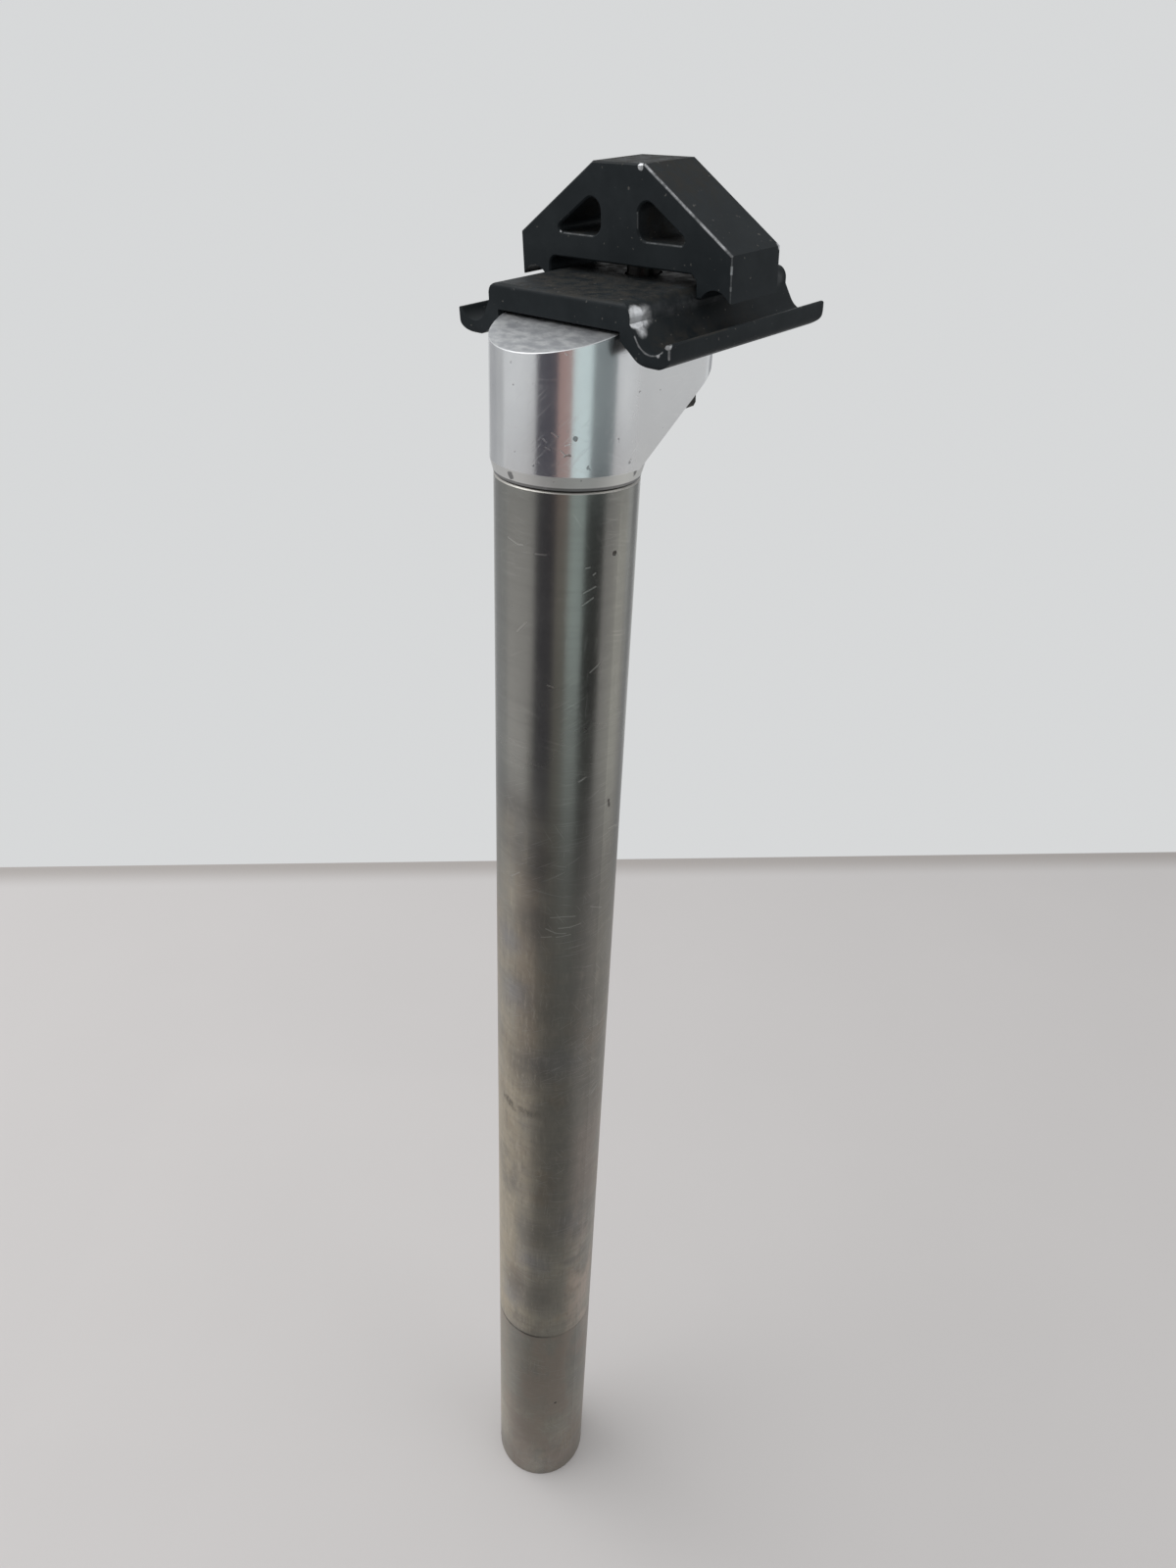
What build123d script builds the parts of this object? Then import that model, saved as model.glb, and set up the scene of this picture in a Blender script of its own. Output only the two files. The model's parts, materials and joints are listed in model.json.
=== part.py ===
from build123d import *
import os
from math import asin, atan2, cos, hypot, radians, sin, sqrt, tan

# Bicycle seatpost with a bonded head and a single-bolt saddle clamp.
# Frame: origin at the centre of the tube's lower end, +Z up the tube, +Y to the rear, millimetres.

# Tube
TUBE_OD = 27.2
TUBE_WALL = 1.4
TUBE_LENGTH = 327.0
TUBE_FOOT_CHAMFER = 0.3
TUBE_TOP_CHAMFER = 0.6

# Head: spigot, neck and barrel
SPIGOT_LENGTH = 35.0
SPIGOT_WALL = 3.6
SPIGOT_LEAD = 1.2
SOCKET_REAM = 0.2
SOCKET_END_GAP = 0.5
BOND_GAP = 0.06
NECK_HEIGHT = 2.5
BARREL_STEP = 0.7
CORE_ROOF = 4.0

# Head: setback wedge behind the barrel
WEDGE_REAR = 26.6
WEDGE_CORNER_R = 7.0
WEDGE_SLOPE = 37.9
WEDGE_START = 3.7

# Head: front facet, deck and the crown that the cradle rocks on
FACET_TILT = 17.4
FACET_FRONT_RISE = 22.0
DECK_GAP = 0.55
CROWN_R = 15.0
SEAT_GAP = 0.12
HEAD_EDGE = 0.12

# Rocking axis of the clamp and its travel in degrees, nose up negative
PIVOT_SETBACK = 19.8
PIVOT_RISE = 14.5
CLAMP_TILT = 5.3
TILT_DOWN = 1.0
TILT_UP = 10.0

# Saddle rails that the clamp takes
RAIL_D = 7.0
RAIL_CLEAR = 0.1
RAIL_SPACING = 42.8
RAIL_SINK = 3.4

# Lower cradle, heights measured from the rocking axis along the bolt
PLATE_THICK = 4.3
SADDLE_DEPTH = 1.5
CRADLE_FRONT = 22.4
CRADLE_REAR = 20.0
RIDGE_WIDTH = 33.8
RIDGE_ROUND = 2.0
RIDGE_WALL = 2.9
GUIDE_GAP = 0.4
GUIDE_DEPTH = 1.5
HEEL_REACH = 0.6
GROOVE_WALL = 2.3
LIP_SINK = 1.6
LIP_REACH = 4.0
LIP_ROUND = 0.35
LIP_FOOT_ROUND = 1.2
TAIL_ROUND = 3.0
NOSE_ROUND = 1.0
BROW_ROUND = 0.8

# Upper clamp
JAW_WIDTH = 49.4
JAW_TOP_WIDTH = 11.88
JAW_HEIGHT = 19.3
JAW_SHOULDER = 7.2
JAW_DEPTH = 13.1
JAW_NOTCH = 1.8
JAW_SPAN = 34.6
JAW_SPAN_HEIGHT = 3.7
JAW_SPAN_ROUND = 1.6
WINDOW_SILL = 7.85
WINDOW_RIM = 4.0
COLUMN_WIDTH = 8.8
WINDOW_FOOT_ROUND = 2.0
WINDOW_TOE_ROUND = 0.7
WINDOW_PEAK_ROUND = 2.1
JAW_EDGE = 0.3
TAP_ROOF = 1.5

# Clamp bolt and its half-round washer
BOLT_D = 6.0
BOLT_HEAD_D = 10.0
BOLT_HEAD_HEIGHT = 4.0
BOLT_SOCKET = 4.0
BOLT_SOCKET_DEPTH = 2.4
BOLT_EDGE = 0.5
BOLT_TIP_GAP = 1.6
BOLT_CLEAR = 0.4
BOLT_SEAT_GAP = 0.05
THREAD_GAP = 0.08
WASHER_R = 6.0
WASHER_DROP = 5.3
WASHER_LENGTH = 16.0
WASHER_GAP = 0.15
WASHER_EDGE = 0.6

# Sizes that follow from the ones above
tube_r = TUBE_OD / 2
bore_r = tube_r - TUBE_WALL
socket_r = bore_r + SOCKET_REAM
socket_foot = TUBE_LENGTH - SPIGOT_LENGTH - SOCKET_END_GAP
barrel_r = tube_r + BARREL_STEP
neck_top = TUBE_LENGTH + NECK_HEIGHT
pivot_y = PIVOT_SETBACK
pivot_z = TUBE_LENGTH + PIVOT_RISE
clamp_frame = Location((0, pivot_y, pivot_z), (CLAMP_TILT, 0, 0))

saddle_r = CROWN_R + SEAT_GAP
plate_under = saddle_r - SADDLE_DEPTH
plate_top = plate_under + PLATE_THICK
rail_x = RAIL_SPACING / 2
rail_z = plate_top - RAIL_SINK
groove_r = RAIL_D / 2 + RAIL_CLEAR
jaw_foot = rail_z + groove_r - JAW_NOTCH
jaw_top = jaw_foot + JAW_HEIGHT
tap_top = jaw_top - TAP_ROOF
bolt_r = BOLT_D / 2
bolt_hole_r = bolt_r + BOLT_CLEAR
bolt_seat = -WASHER_DROP - BOLT_SEAT_GAP


def extrude_y(face, start, end):
    """A face drawn on the XZ plane, made solid from start to end along +Y."""
    return extrude(Pos(0, start, 0) * face, amount=end - start, dir=(0, 1, 0))


def corners_at(sketch, points):
    """The sketch's corners nearest to the given points of its own plane."""
    found = []
    for point in points:
        found.append(sketch.vertices().sort_by_distance(point)[0])
    return found


def tangent_point(x, z, cx, cz, r, side):
    """Where a line from (x, z) touches a circle, on its left (1) or right (-1) as seen from the point."""
    reach = hypot(cx - x, cz - z)
    heading = atan2(cz - z, cx - x) + side * asin(r / reach)
    run = sqrt(reach**2 - r**2)
    return x + run * cos(heading), z + run * sin(heading)


def mirrored(face):
    """A half outline together with its mirror image about the middle plane."""
    return face + mirror(face, Plane.YZ)


def make_tube():
    """Plain tube, with a broken edge at its foot, a wider one at its top and a reamed socket for the head."""
    tube = Cylinder(tube_r, TUBE_LENGTH, align=(Align.CENTER, Align.CENTER, Align.MIN))
    rims = tube.edges().filter_by(GeomType.CIRCLE).sort_by(Axis.Z)
    tube = chamfer(rims[-1], TUBE_TOP_CHAMFER)
    foot = tube.edges().filter_by(GeomType.CIRCLE).sort_by(Axis.Z)[0]
    tube = chamfer(foot, TUBE_FOOT_CHAMFER)
    bore = Cylinder(bore_r, TUBE_LENGTH, align=(Align.CENTER, Align.CENTER, Align.MIN))
    socket = Cylinder(socket_r, TUBE_LENGTH - socket_foot, align=(Align.CENTER, Align.CENTER, Align.MIN))
    return tube - bore - Pos(0, 0, socket_foot) * socket


def head_top_line():
    """Side outline of the head's top, front to rear: facet, deck and crown, with its two end points."""
    tilt = radians(CLAMP_TILT)
    deck_slope = tan(tilt)
    deck_level = plate_under - DECK_GAP
    deck_y = pivot_y - deck_level * sin(tilt)
    deck_z = pivot_z + deck_level * cos(tilt)
    facet_slope = tan(radians(FACET_TILT))
    rim_z = TUBE_LENGTH + FACET_FRONT_RISE
    crest_y = (deck_z - rim_z - facet_slope * barrel_r - deck_slope * deck_y) / (facet_slope - deck_slope)
    crest_z = rim_z + facet_slope * (crest_y + barrel_r)
    front_y = -barrel_r - BARREL_STEP
    front_z = rim_z - facet_slope * BARREL_STEP
    crown_start = sqrt(CROWN_R**2 - deck_level**2)
    start_y = deck_y - crown_start * cos(tilt)
    start_z = deck_z - crown_start * sin(tilt)
    end_y = WEDGE_REAR + BARREL_STEP
    end_z = pivot_z + sqrt(CROWN_R**2 - (end_y - pivot_y)**2)
    front = (front_y, front_z)
    crest = (crest_y, crest_z)
    start = (start_y, start_z)
    top = (pivot_y, pivot_z + CROWN_R)
    end = (end_y, end_z)
    return [Line(front, crest), Line(crest, start), ThreePointArc(start, top, end)], front, end


def make_head():
    """Turned spigot, neck and barrel, with a setback wedge that carries the clamp."""
    top_line, front, end = head_top_line()
    half_width = barrel_r + BARREL_STEP
    spigot_r = socket_r - BOND_GAP
    spigot_foot = TUBE_LENGTH - SPIGOT_LENGTH
    turned = Polyline(
        (0, spigot_foot),
        (spigot_r - SPIGOT_LEAD, spigot_foot),
        (spigot_r, spigot_foot + SPIGOT_LEAD),
        (spigot_r, TUBE_LENGTH),
        (tube_r, TUBE_LENGTH),
        (barrel_r, neck_top),
        (barrel_r, end[1] + CROWN_R),
        (0, end[1] + CROWN_R),
        close=True,
    )
    barrel = revolve(Plane.XZ * make_face(turned), Axis.Z)
    under_facet = Polyline(end, (end[0], spigot_foot), (front[0], spigot_foot), front)
    keep = Plane.YZ * make_face(top_line + [under_facet])
    barrel = barrel & extrude(keep, amount=half_width, both=True)

    slope_rise = (end[0] - WEDGE_START) * tan(radians(WEDGE_SLOPE))
    under_wedge = Polyline(
        end,
        (end[0], neck_top + slope_rise),
        (WEDGE_START, neck_top),
        (front[0], neck_top),
        front,
    )
    wedge_side = extrude(Plane.YZ * make_face(top_line + [under_wedge]), amount=half_width, both=True)
    plan = Pos(0, WEDGE_REAR / 2) * Rectangle(2 * barrel_r, WEDGE_REAR)
    rear_corners = corners_at(plan, [(-barrel_r, WEDGE_REAR, 0), (barrel_r, WEDGE_REAR, 0)])
    plan = fillet(rear_corners, WEDGE_CORNER_R)
    wedge = extrude(Pos(0, 0, neck_top) * plan, amount=CROWN_R + PIVOT_RISE) & wedge_side
    head = barrel + wedge

    core = Cylinder(
        spigot_r - SPIGOT_WALL,
        SPIGOT_LENGTH + CORE_ROOF,
        align=(Align.CENTER, Align.CENTER, Align.MIN),
    )
    head -= Pos(0, 0, spigot_foot) * core
    head -= washer_pocket()
    head -= bolt_slot()
    facet = head.faces().filter_by(GeomType.PLANE).sort_by_distance((0, front[0], front[1]))[0]
    return chamfer(facet.outer_wire().edges(), HEAD_EDGE)


def washer_pocket():
    """Half-round pocket under the wedge, open downwards, in which the washer rocks."""
    swing = radians(TILT_UP - CLAMP_TILT)
    half = WASHER_R * cos(swing) + WASHER_DROP * sin(swing) + WASHER_GAP
    length = WASHER_LENGTH + 2 * WASHER_GAP
    roof = Rot(0, 90, 0) * Cylinder(WASHER_R + WASHER_GAP, length)
    mouth = Box(length, 2 * half, PIVOT_RISE, align=(Align.CENTER, Align.CENTER, Align.MAX))
    return Pos(0, pivot_y, pivot_z) * (roof + mouth)


def bolt_slot():
    """Slot through the crown, as long as the bolt's swing at the crown's top needs."""
    foremost = pivot_y - CROWN_R * sin(radians(CLAMP_TILT + TILT_DOWN)) - bolt_hole_r
    rearmost = pivot_y - CROWN_R * sin(radians(CLAMP_TILT - TILT_UP)) + bolt_hole_r
    slot = SlotOverall(rearmost - foremost, 2 * bolt_hole_r, rotation=90)
    return extrude(Pos(0, (foremost + rearmost) / 2, pivot_z) * slot, amount=CROWN_R + WASHER_R)


def make_cradle():
    """Plate with a rail groove along each side, rocking on the crown by a shallow hollow."""
    ridge_x = RIDGE_WIDTH / 2
    guide_x = barrel_r + GUIDE_GAP
    outer_r = groove_r + GROOVE_WALL
    lip_z = rail_z - LIP_SINK
    lip_x = rail_x + LIP_REACH
    lip_inner_x = rail_x + sqrt(groove_r**2 - LIP_SINK**2)
    lip_foot_z = rail_z - sqrt(outer_r**2 - LIP_REACH**2)
    web_z = plate_under - GUIDE_DEPTH
    heel_x = rail_x - outer_r - HEEL_REACH
    wall_z = plate_top - RIDGE_WALL
    wall_in = tangent_point(ridge_x, wall_z, rail_x, rail_z, groove_r, -1)
    wall_out = tangent_point(heel_x, web_z, rail_x, rail_z, outer_r, -1)
    outline = [
        Polyline((0, plate_top), (ridge_x, plate_top), (ridge_x, wall_z), wall_in),
        ThreePointArc(wall_in, (rail_x, rail_z - groove_r), (lip_inner_x, lip_z)),
        Polyline((lip_inner_x, lip_z), (lip_x, lip_z), (lip_x, lip_foot_z)),
        ThreePointArc((lip_x, lip_foot_z), (rail_x, rail_z - outer_r), wall_out),
        Polyline(wall_out, (heel_x, web_z), (0, web_z), (0, plate_top)),
    ]
    half = make_face(outline)
    half = fillet(corners_at(half, [(ridge_x, plate_top, 0)]), RIDGE_ROUND)
    half = fillet(corners_at(half, [(lip_x, lip_z, 0), (lip_inner_x, lip_z, 0)]), LIP_ROUND)
    half = fillet(corners_at(half, [(lip_x, lip_foot_z, 0)]), LIP_FOOT_ROUND)
    section = mirrored(half)
    section -= Pos(0, web_z) * Rectangle(2 * guide_x, 2 * GUIDE_DEPTH)
    cradle = extrude_y(Plane.XZ * section, -CRADLE_FRONT, CRADLE_REAR)

    low = rail_z - outer_r
    side = Polyline(
        (-CRADLE_FRONT, plate_top),
        (-CRADLE_FRONT, low),
        (CRADLE_REAR, low),
        (CRADLE_REAR, plate_top),
        close=True,
    )
    side = make_face(side)
    side = fillet(corners_at(side, [(CRADLE_REAR, low, 0)]), TAIL_ROUND)
    side = fillet(corners_at(side, [(-CRADLE_FRONT, low, 0)]), NOSE_ROUND)
    side = fillet(corners_at(side, [(-CRADLE_FRONT, plate_top, 0)]), BROW_ROUND)
    cradle &= extrude(Plane.YZ * side, amount=lip_x, both=True)

    cradle -= Rot(0, 90, 0) * Cylinder(saddle_r, 2 * guide_x)
    cradle -= Cylinder(bolt_hole_r, 2 * plate_top)
    return clamp_frame * cradle


def make_jaw():
    """Bridge with two notched feet that press on the rails, tapped for the bolt between two windows."""
    half_w = JAW_WIDTH / 2
    half_t = JAW_TOP_WIDTH / 2
    half_span = JAW_SPAN / 2
    shoulder_z = jaw_foot + JAW_SHOULDER
    span_z = jaw_foot + JAW_SPAN_HEIGHT
    outline = Polyline(
        (0, jaw_top),
        (half_t, jaw_top),
        (half_w, shoulder_z),
        (half_w, jaw_foot),
        (half_span, jaw_foot),
        (half_span, span_z),
        (0, span_z),
        close=True,
    )
    half = make_face(outline)
    half = fillet(corners_at(half, [(half_span, span_z, 0)]), JAW_SPAN_ROUND)
    half -= jaw_window(half_w, half_t, shoulder_z)
    jaw = extrude_y(Plane.XZ * mirrored(half), -JAW_DEPTH / 2, JAW_DEPTH / 2)
    ends = jaw.faces().sort_by(Axis.Y)
    rims = ends[0].edges() + ends[-1].edges()
    jaw = chamfer(rims, JAW_EDGE)
    for side in (-1, 1):
        jaw -= Pos(side * rail_x, 0, rail_z) * Rot(90, 0, 0) * Cylinder(groove_r, 2 * JAW_DEPTH)
    tapped = Cylinder(bolt_r + THREAD_GAP, JAW_HEIGHT, align=(Align.CENTER, Align.CENTER, Align.MAX))
    jaw -= Pos(0, 0, tap_top) * tapped
    return clamp_frame * jaw


def jaw_window(half_w, half_t, shoulder_z):
    """Three-cornered window whose long side runs parallel to the jaw's sloping shoulder."""
    sill_z = jaw_foot + WINDOW_SILL
    column_x = COLUMN_WIDTH / 2
    fall = (jaw_top - shoulder_z) / (half_w - half_t)
    rim_drop = WINDOW_RIM * sqrt(1 + fall**2)
    peak_z = jaw_top - fall * (column_x - half_t) - rim_drop
    toe_x = column_x + (peak_z - sill_z) / fall
    window = make_face(Polyline((column_x, sill_z), (toe_x, sill_z), (column_x, peak_z), close=True))
    window = fillet(corners_at(window, [(column_x, sill_z, 0)]), WINDOW_FOOT_ROUND)
    window = fillet(corners_at(window, [(column_x, peak_z, 0)]), WINDOW_PEAK_ROUND)
    return fillet(corners_at(window, [(toe_x, sill_z, 0)]), WINDOW_TOE_ROUND)


def make_bolt():
    """Socket-head bolt from below, its plain thread surface reaching up into the jaw."""
    tip = tap_top - BOLT_TIP_GAP
    foot = bolt_seat - BOLT_HEAD_HEIGHT
    turned = Polyline(
        (0, foot),
        (BOLT_HEAD_D / 2 - BOLT_EDGE, foot),
        (BOLT_HEAD_D / 2, foot + BOLT_EDGE),
        (BOLT_HEAD_D / 2, bolt_seat),
        (bolt_r, bolt_seat),
        (bolt_r, tip - BOLT_EDGE),
        (bolt_r - BOLT_EDGE, tip),
        (0, tip),
        close=True,
    )
    bolt = revolve(Plane.XZ * make_face(turned), Axis.Z)
    hexagon = RegularPolygon(BOLT_SOCKET / 2, 6, major_radius=False)
    bolt -= extrude(Pos(0, 0, foot) * hexagon, amount=BOLT_SOCKET_DEPTH)
    return clamp_frame * bolt


def make_washer():
    """Half-round washer: its back rocks in the head's pocket, its flat takes the bolt's head."""
    section = Polyline(
        (-WASHER_R, 0),
        (-WASHER_R, WASHER_EDGE - WASHER_DROP),
        (WASHER_EDGE - WASHER_R, -WASHER_DROP),
        (WASHER_R - WASHER_EDGE, -WASHER_DROP),
        (WASHER_R, WASHER_EDGE - WASHER_DROP),
        (WASHER_R, 0),
    )
    back = ThreePointArc((WASHER_R, 0), (0, WASHER_R), (-WASHER_R, 0))
    washer = extrude(Plane.YZ * make_face([section, back]), amount=WASHER_LENGTH / 2, both=True)
    washer -= Cylinder(bolt_hole_r, 2 * WASHER_R + 2 * WASHER_DROP)
    return clamp_frame * washer


pieces = {
    "post_tube": make_tube(),
    "post_head": make_head(),
    "lower_cradle": make_cradle(),
    "upper_clamp": make_jaw(),
    "clamp_bolt": make_bolt(),
    "half_round_washer": make_washer(),
}

os.makedirs("parts", exist_ok=True)
for name, solid in pieces.items():
    export_step(solid, os.path.join("parts", name + ".step"))
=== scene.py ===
import json
from math import cos, radians, sin

import bpy
from mathutils import Matrix, Vector

# Looks of a used bicycle seatpost: satin grey tube, polished head and black saddle clamp.
# The part's frame is in metres. Marks on its surfaces are placed in millimetres, in the part's
# frame or in the clamp's own.
MM_PER_M = 1000

# Camera of the main view, in metres; sensor and lens in millimetres
CAMERA_PLACE = Vector((0.13942, -0.14188, 0.37985))
CAMERA_AHEAD = Vector((-0.58005, 0.62926, -0.51728))
CAMERA_RIGHT = Vector((0.71921, 0.69378, 0.03748))
CAMERA_NEAREST = 0.01
SENSOR_HEIGHT = 36.0
LENS = 24.58

# Floor, with the two ends of its back edge, and the light all round
FLOOR_COLOUR = (0.590, 0.574, 0.570)
FLOOR_MOTTLE = 0.02
FLOOR_EDGE = (Vector((-0.4547, -0.003, 0.0)), Vector((0.0066, 0.5146, 0.0)))
# Painted shadow along the floor's back edge: its colour, and the millimetres from the edge where it is
# gone and where it is full
FLOOR_EDGE_SHADOW_COLOUR = (0.30, 0.27, 0.25)
FLOOR_EDGE_SHADOW_FADE = (22.0, 2.0)
FLOOR_DEPTH = 2.2
BACKDROP_COLOUR = (0.68, 0.69, 0.695)
WORLD_STRENGTH = 0.62

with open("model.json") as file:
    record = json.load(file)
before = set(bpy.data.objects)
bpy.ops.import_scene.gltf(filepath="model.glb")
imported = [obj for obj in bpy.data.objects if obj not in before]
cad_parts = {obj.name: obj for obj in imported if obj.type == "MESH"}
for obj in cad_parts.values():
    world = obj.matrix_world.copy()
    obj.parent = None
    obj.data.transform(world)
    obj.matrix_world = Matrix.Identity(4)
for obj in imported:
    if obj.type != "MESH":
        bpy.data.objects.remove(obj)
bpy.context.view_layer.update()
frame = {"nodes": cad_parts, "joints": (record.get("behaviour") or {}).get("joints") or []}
tilt = next(j for j in frame["joints"] if j["name"] == "clamp_tilt")
lift = next(j for j in frame["joints"] if j["name"] == "jaw_lift")
CLAMP_ORIGIN = Vector(tilt["pos_m"]) * MM_PER_M
CLAMP_UP = Vector(lift["axis"]).normalized()
CLAMP_RIGHT = Vector((1, 0, 0))
CLAMP_REAR = CLAMP_UP.cross(CLAMP_RIGHT)


def in_clamp(x, y, z):
    """A point of the clamp's own frame, millimetres, in the part's frame."""
    return CLAMP_ORIGIN + x * CLAMP_RIGHT + y * CLAMP_REAR + z * CLAMP_UP


def on_face(face, *points):
    """Points of an upright plane across the clamp, each given by its place across and up."""
    return [in_clamp(x, face, z) for x, z in points]


# Shared measures of the surface patterns
NOISE_MIDDLE = 0.5
NOISE_SWING = 0.25
NOISE_SHIFT = (1.0, 1.7, 0.6)
STROKE_CORE = 0.35
SCRATCH_EDGE = 0.05
SCRATCH_SHIFT = 3.7
SCRATCH_PATCH = 14.0
SCRATCH_PATCH_SHIFT = 5.1
SCRATCH_PATCH_RANGE = (0.44, 0.62)
BUMP_DISTANCE = 0.001


class Surface:
    """One node material in millimetres, with short calls for the nodes it needs."""

    def __init__(self, name):
        self.material = bpy.data.materials.new(name)
        self.material.use_nodes = True
        self.nodes = self.material.node_tree.nodes
        self.links = self.material.node_tree.links
        self.shader = self.nodes["Principled BSDF"]
        coordinates = self.node("ShaderNodeTexCoord")
        self.normal = coordinates.outputs["Normal"]
        self.place = self.vector("SCALE", coordinates.outputs["Object"], scale=MM_PER_M)

    def node(self, kind, **settings):
        made = self.nodes.new(kind)
        for key, value in settings.items():
            setattr(made, key, value)
        return made

    def feed(self, socket, value):
        """Links an output to a socket, or sets a constant on the socket itself."""
        if isinstance(value, bpy.types.NodeSocket):
            self.links.new(value, socket)
        elif socket.type == "RGBA" and len(value) == 3:
            socket.default_value = (*value, 1.0)
        else:
            socket.default_value = value

    def fill(self, made, **values):
        """Feeds several sockets of a node; an underscore stands for a space."""
        for key, value in values.items():
            self.feed(made.inputs[key.replace("_", " ")], value)

    def math(self, operation, a, b=0.0, c=0.0):
        made = self.node("ShaderNodeMath", operation=operation)
        for socket, value in zip(made.inputs, (a, b, c)):
            self.feed(socket, value)
        return made.outputs[0]

    def times(self, *values):
        """The product of several masks and numbers."""
        result = values[0]
        for value in values[1:]:
            result = self.math("MULTIPLY", result, value)
        return result

    def add(self, base, value, share):
        """The base with a share of a value added."""
        return self.math("MULTIPLY_ADD", value, share, base)

    def most(self, values):
        """The largest of several masks."""
        top = values[0]
        for value in values[1:]:
            top = self.math("MAXIMUM", top, value)
        return top

    def centred(self, noise):
        """A noise that varies about zero."""
        return self.math("SUBTRACT", noise, NOISE_MIDDLE)

    def vector(self, operation, a, b=None, scale=None):
        made = self.node("ShaderNodeVectorMath", operation=operation)
        self.feed(made.inputs[0], a)
        if b is not None:
            self.feed(made.inputs[1], b)
        if scale is not None:
            self.feed(made.inputs["Scale"], scale)
        number = operation in ("DOT_PRODUCT", "DISTANCE")
        return made.outputs["Value"] if number else made.outputs["Vector"]

    def axes(self, vector):
        made = self.node("ShaderNodeSeparateXYZ")
        self.feed(made.inputs[0], vector)
        return made.outputs

    def facing(self, direction):
        """1 where the surface faces a direction and -1 where it faces away."""
        return self.vector("DOT_PRODUCT", self.normal, tuple(direction))

    def step(self, value, low, high):
        """0 below low and 1 above high, smooth between; low may be the larger one."""
        made = self.node("ShaderNodeMapRange", interpolation_type="SMOOTHSTEP")
        self.fill(made, Value=value, From_Min=low, From_Max=high)
        return made.outputs["Result"]

    def noise(self, size, stretch=(1, 1, 1), detail=3.0, rough=0.55, shift=0.0):
        """Noise with features about size millimetres across, longer along the stretched axes."""
        place = self.vector("MULTIPLY", self.place, tuple(1 / (size * s) for s in stretch))
        place = self.vector("ADD", place, tuple(shift * s for s in NOISE_SHIFT))
        made = self.node("ShaderNodeTexNoise")
        self.fill(made, Vector=place, Scale=1.0, Detail=detail, Roughness=rough)
        return made.outputs["Fac"]

    def mix(self, amount, a, b):
        """A colour that goes from a to b as amount goes from 0 to 1."""
        made = self.node("ShaderNodeMix", data_type="RGBA")
        self.fill(made, Factor=amount, A=a, B=b)
        return made.outputs["Result"]

    def blend(self, amount, a, b):
        """A number that goes from a to b as amount goes from 0 to 1."""
        made = self.node("ShaderNodeMix", data_type="FLOAT")
        self.fill(made, Factor=amount, A=a, B=b)
        return made.outputs["Result"]

    def blob(self, centre, radius, ragged=0.0, size=1.0, core=0.8, reach=1.15):
        """A round patch about a point: full within core radii and gone beyond reach radii.

        A ragged edge strays by about that many millimetres, in waves of the given size.
        """
        distance = self.vector("DISTANCE", self.place, tuple(centre))
        if ragged:
            distance = self.add(distance, self.centred(self.noise(size)), ragged / NOISE_SWING)
        return self.step(distance, radius * reach, radius * core)

    def stroke(self, start, end, width):
        """A thin line between two points of the surface."""
        start, end = Vector(start), Vector(end)
        along = end - start
        offset = self.vector("SUBTRACT", self.place, tuple(start))
        share = self.vector("DOT_PRODUCT", offset, tuple(along / along.length_squared))
        share = self.math("MINIMUM", self.math("MAXIMUM", share, 0.0), 1.0)
        nearest = self.vector("SCALE", tuple(along), scale=share)
        distance = self.vector("DISTANCE", offset, nearest)
        return self.step(distance, width, width * STROKE_CORE)

    def strokes(self, paths, width):
        """Thin lines along several paths of points."""
        lines = []
        for path in paths:
            for start, end in zip(path, path[1:]):
                lines.append(self.stroke(start, end, width))
        return self.most(lines)

    def scratch(self, across, up, lean, length, width, low, shift):
        """Sparse straight scratches that lean by some degrees.

        Across and up run along the surface; only noise above low makes a scratch.
        """
        a = radians(lean)
        along = self.add(self.times(up, sin(a) / length), across, cos(a) / length)
        aside = self.add(self.times(across, -sin(a) / width), up, cos(a) / width)
        place = self.node("ShaderNodeCombineXYZ")
        self.fill(place, X=along, Y=aside, Z=shift)
        made = self.node("ShaderNodeTexNoise")
        self.fill(made, Vector=place.outputs["Vector"], Scale=1.0, Detail=0.0)
        return self.step(made.outputs["Fac"], low, low + SCRATCH_EDGE)

    def scratches(self, radius, families, shift):
        """Fine scratches round an upright cylinder, each family kept in some places only."""
        x, y, up = self.axes(self.place)
        across = self.times(self.math("ARCTAN2", y, x), radius)
        lines = []
        for order, family in enumerate(families):
            line = self.scratch(across, up, *family, shift + SCRATCH_SHIFT * order)
            patch_shift = shift + SCRATCH_PATCH_SHIFT * order
            patch = self.noise(SCRATCH_PATCH, (1, 1, 1.4), detail=2.0, rough=0.5, shift=patch_shift)
            lines.append(self.times(line, self.step(patch, *SCRATCH_PATCH_RANGE)))
        return self.most(lines)

    def bump(self, height, strength):
        made = self.node("ShaderNodeBump")
        self.fill(made, Strength=strength, Distance=BUMP_DISTANCE, Height=height)
        self.feed(self.shader.inputs["Normal"], made.outputs["Normal"])


# Heights and radii of the tube and head, in millimetres
TUBE_RADIUS = 13.6
TUBE_TOP = 327.0
RING_HEIGHT = 77.0
NECK_RADIUS = 13.9
NECK_TOP = 329.5
BARREL_RADIUS = 14.3
FINE_LINE = 0.17


def on_tube(bearing, height, radius=TUBE_RADIUS):
    """A point of the tube's or head's outside: degrees from +X, millimetres up."""
    return Vector((radius * cos(radians(bearing)), radius * sin(radians(bearing)), height))


def round_paths(paths, radius):
    """Paths of bearings and heights as paths of points."""
    return [[on_tube(bearing, height, radius) for bearing, height in path] for path in paths]


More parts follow.
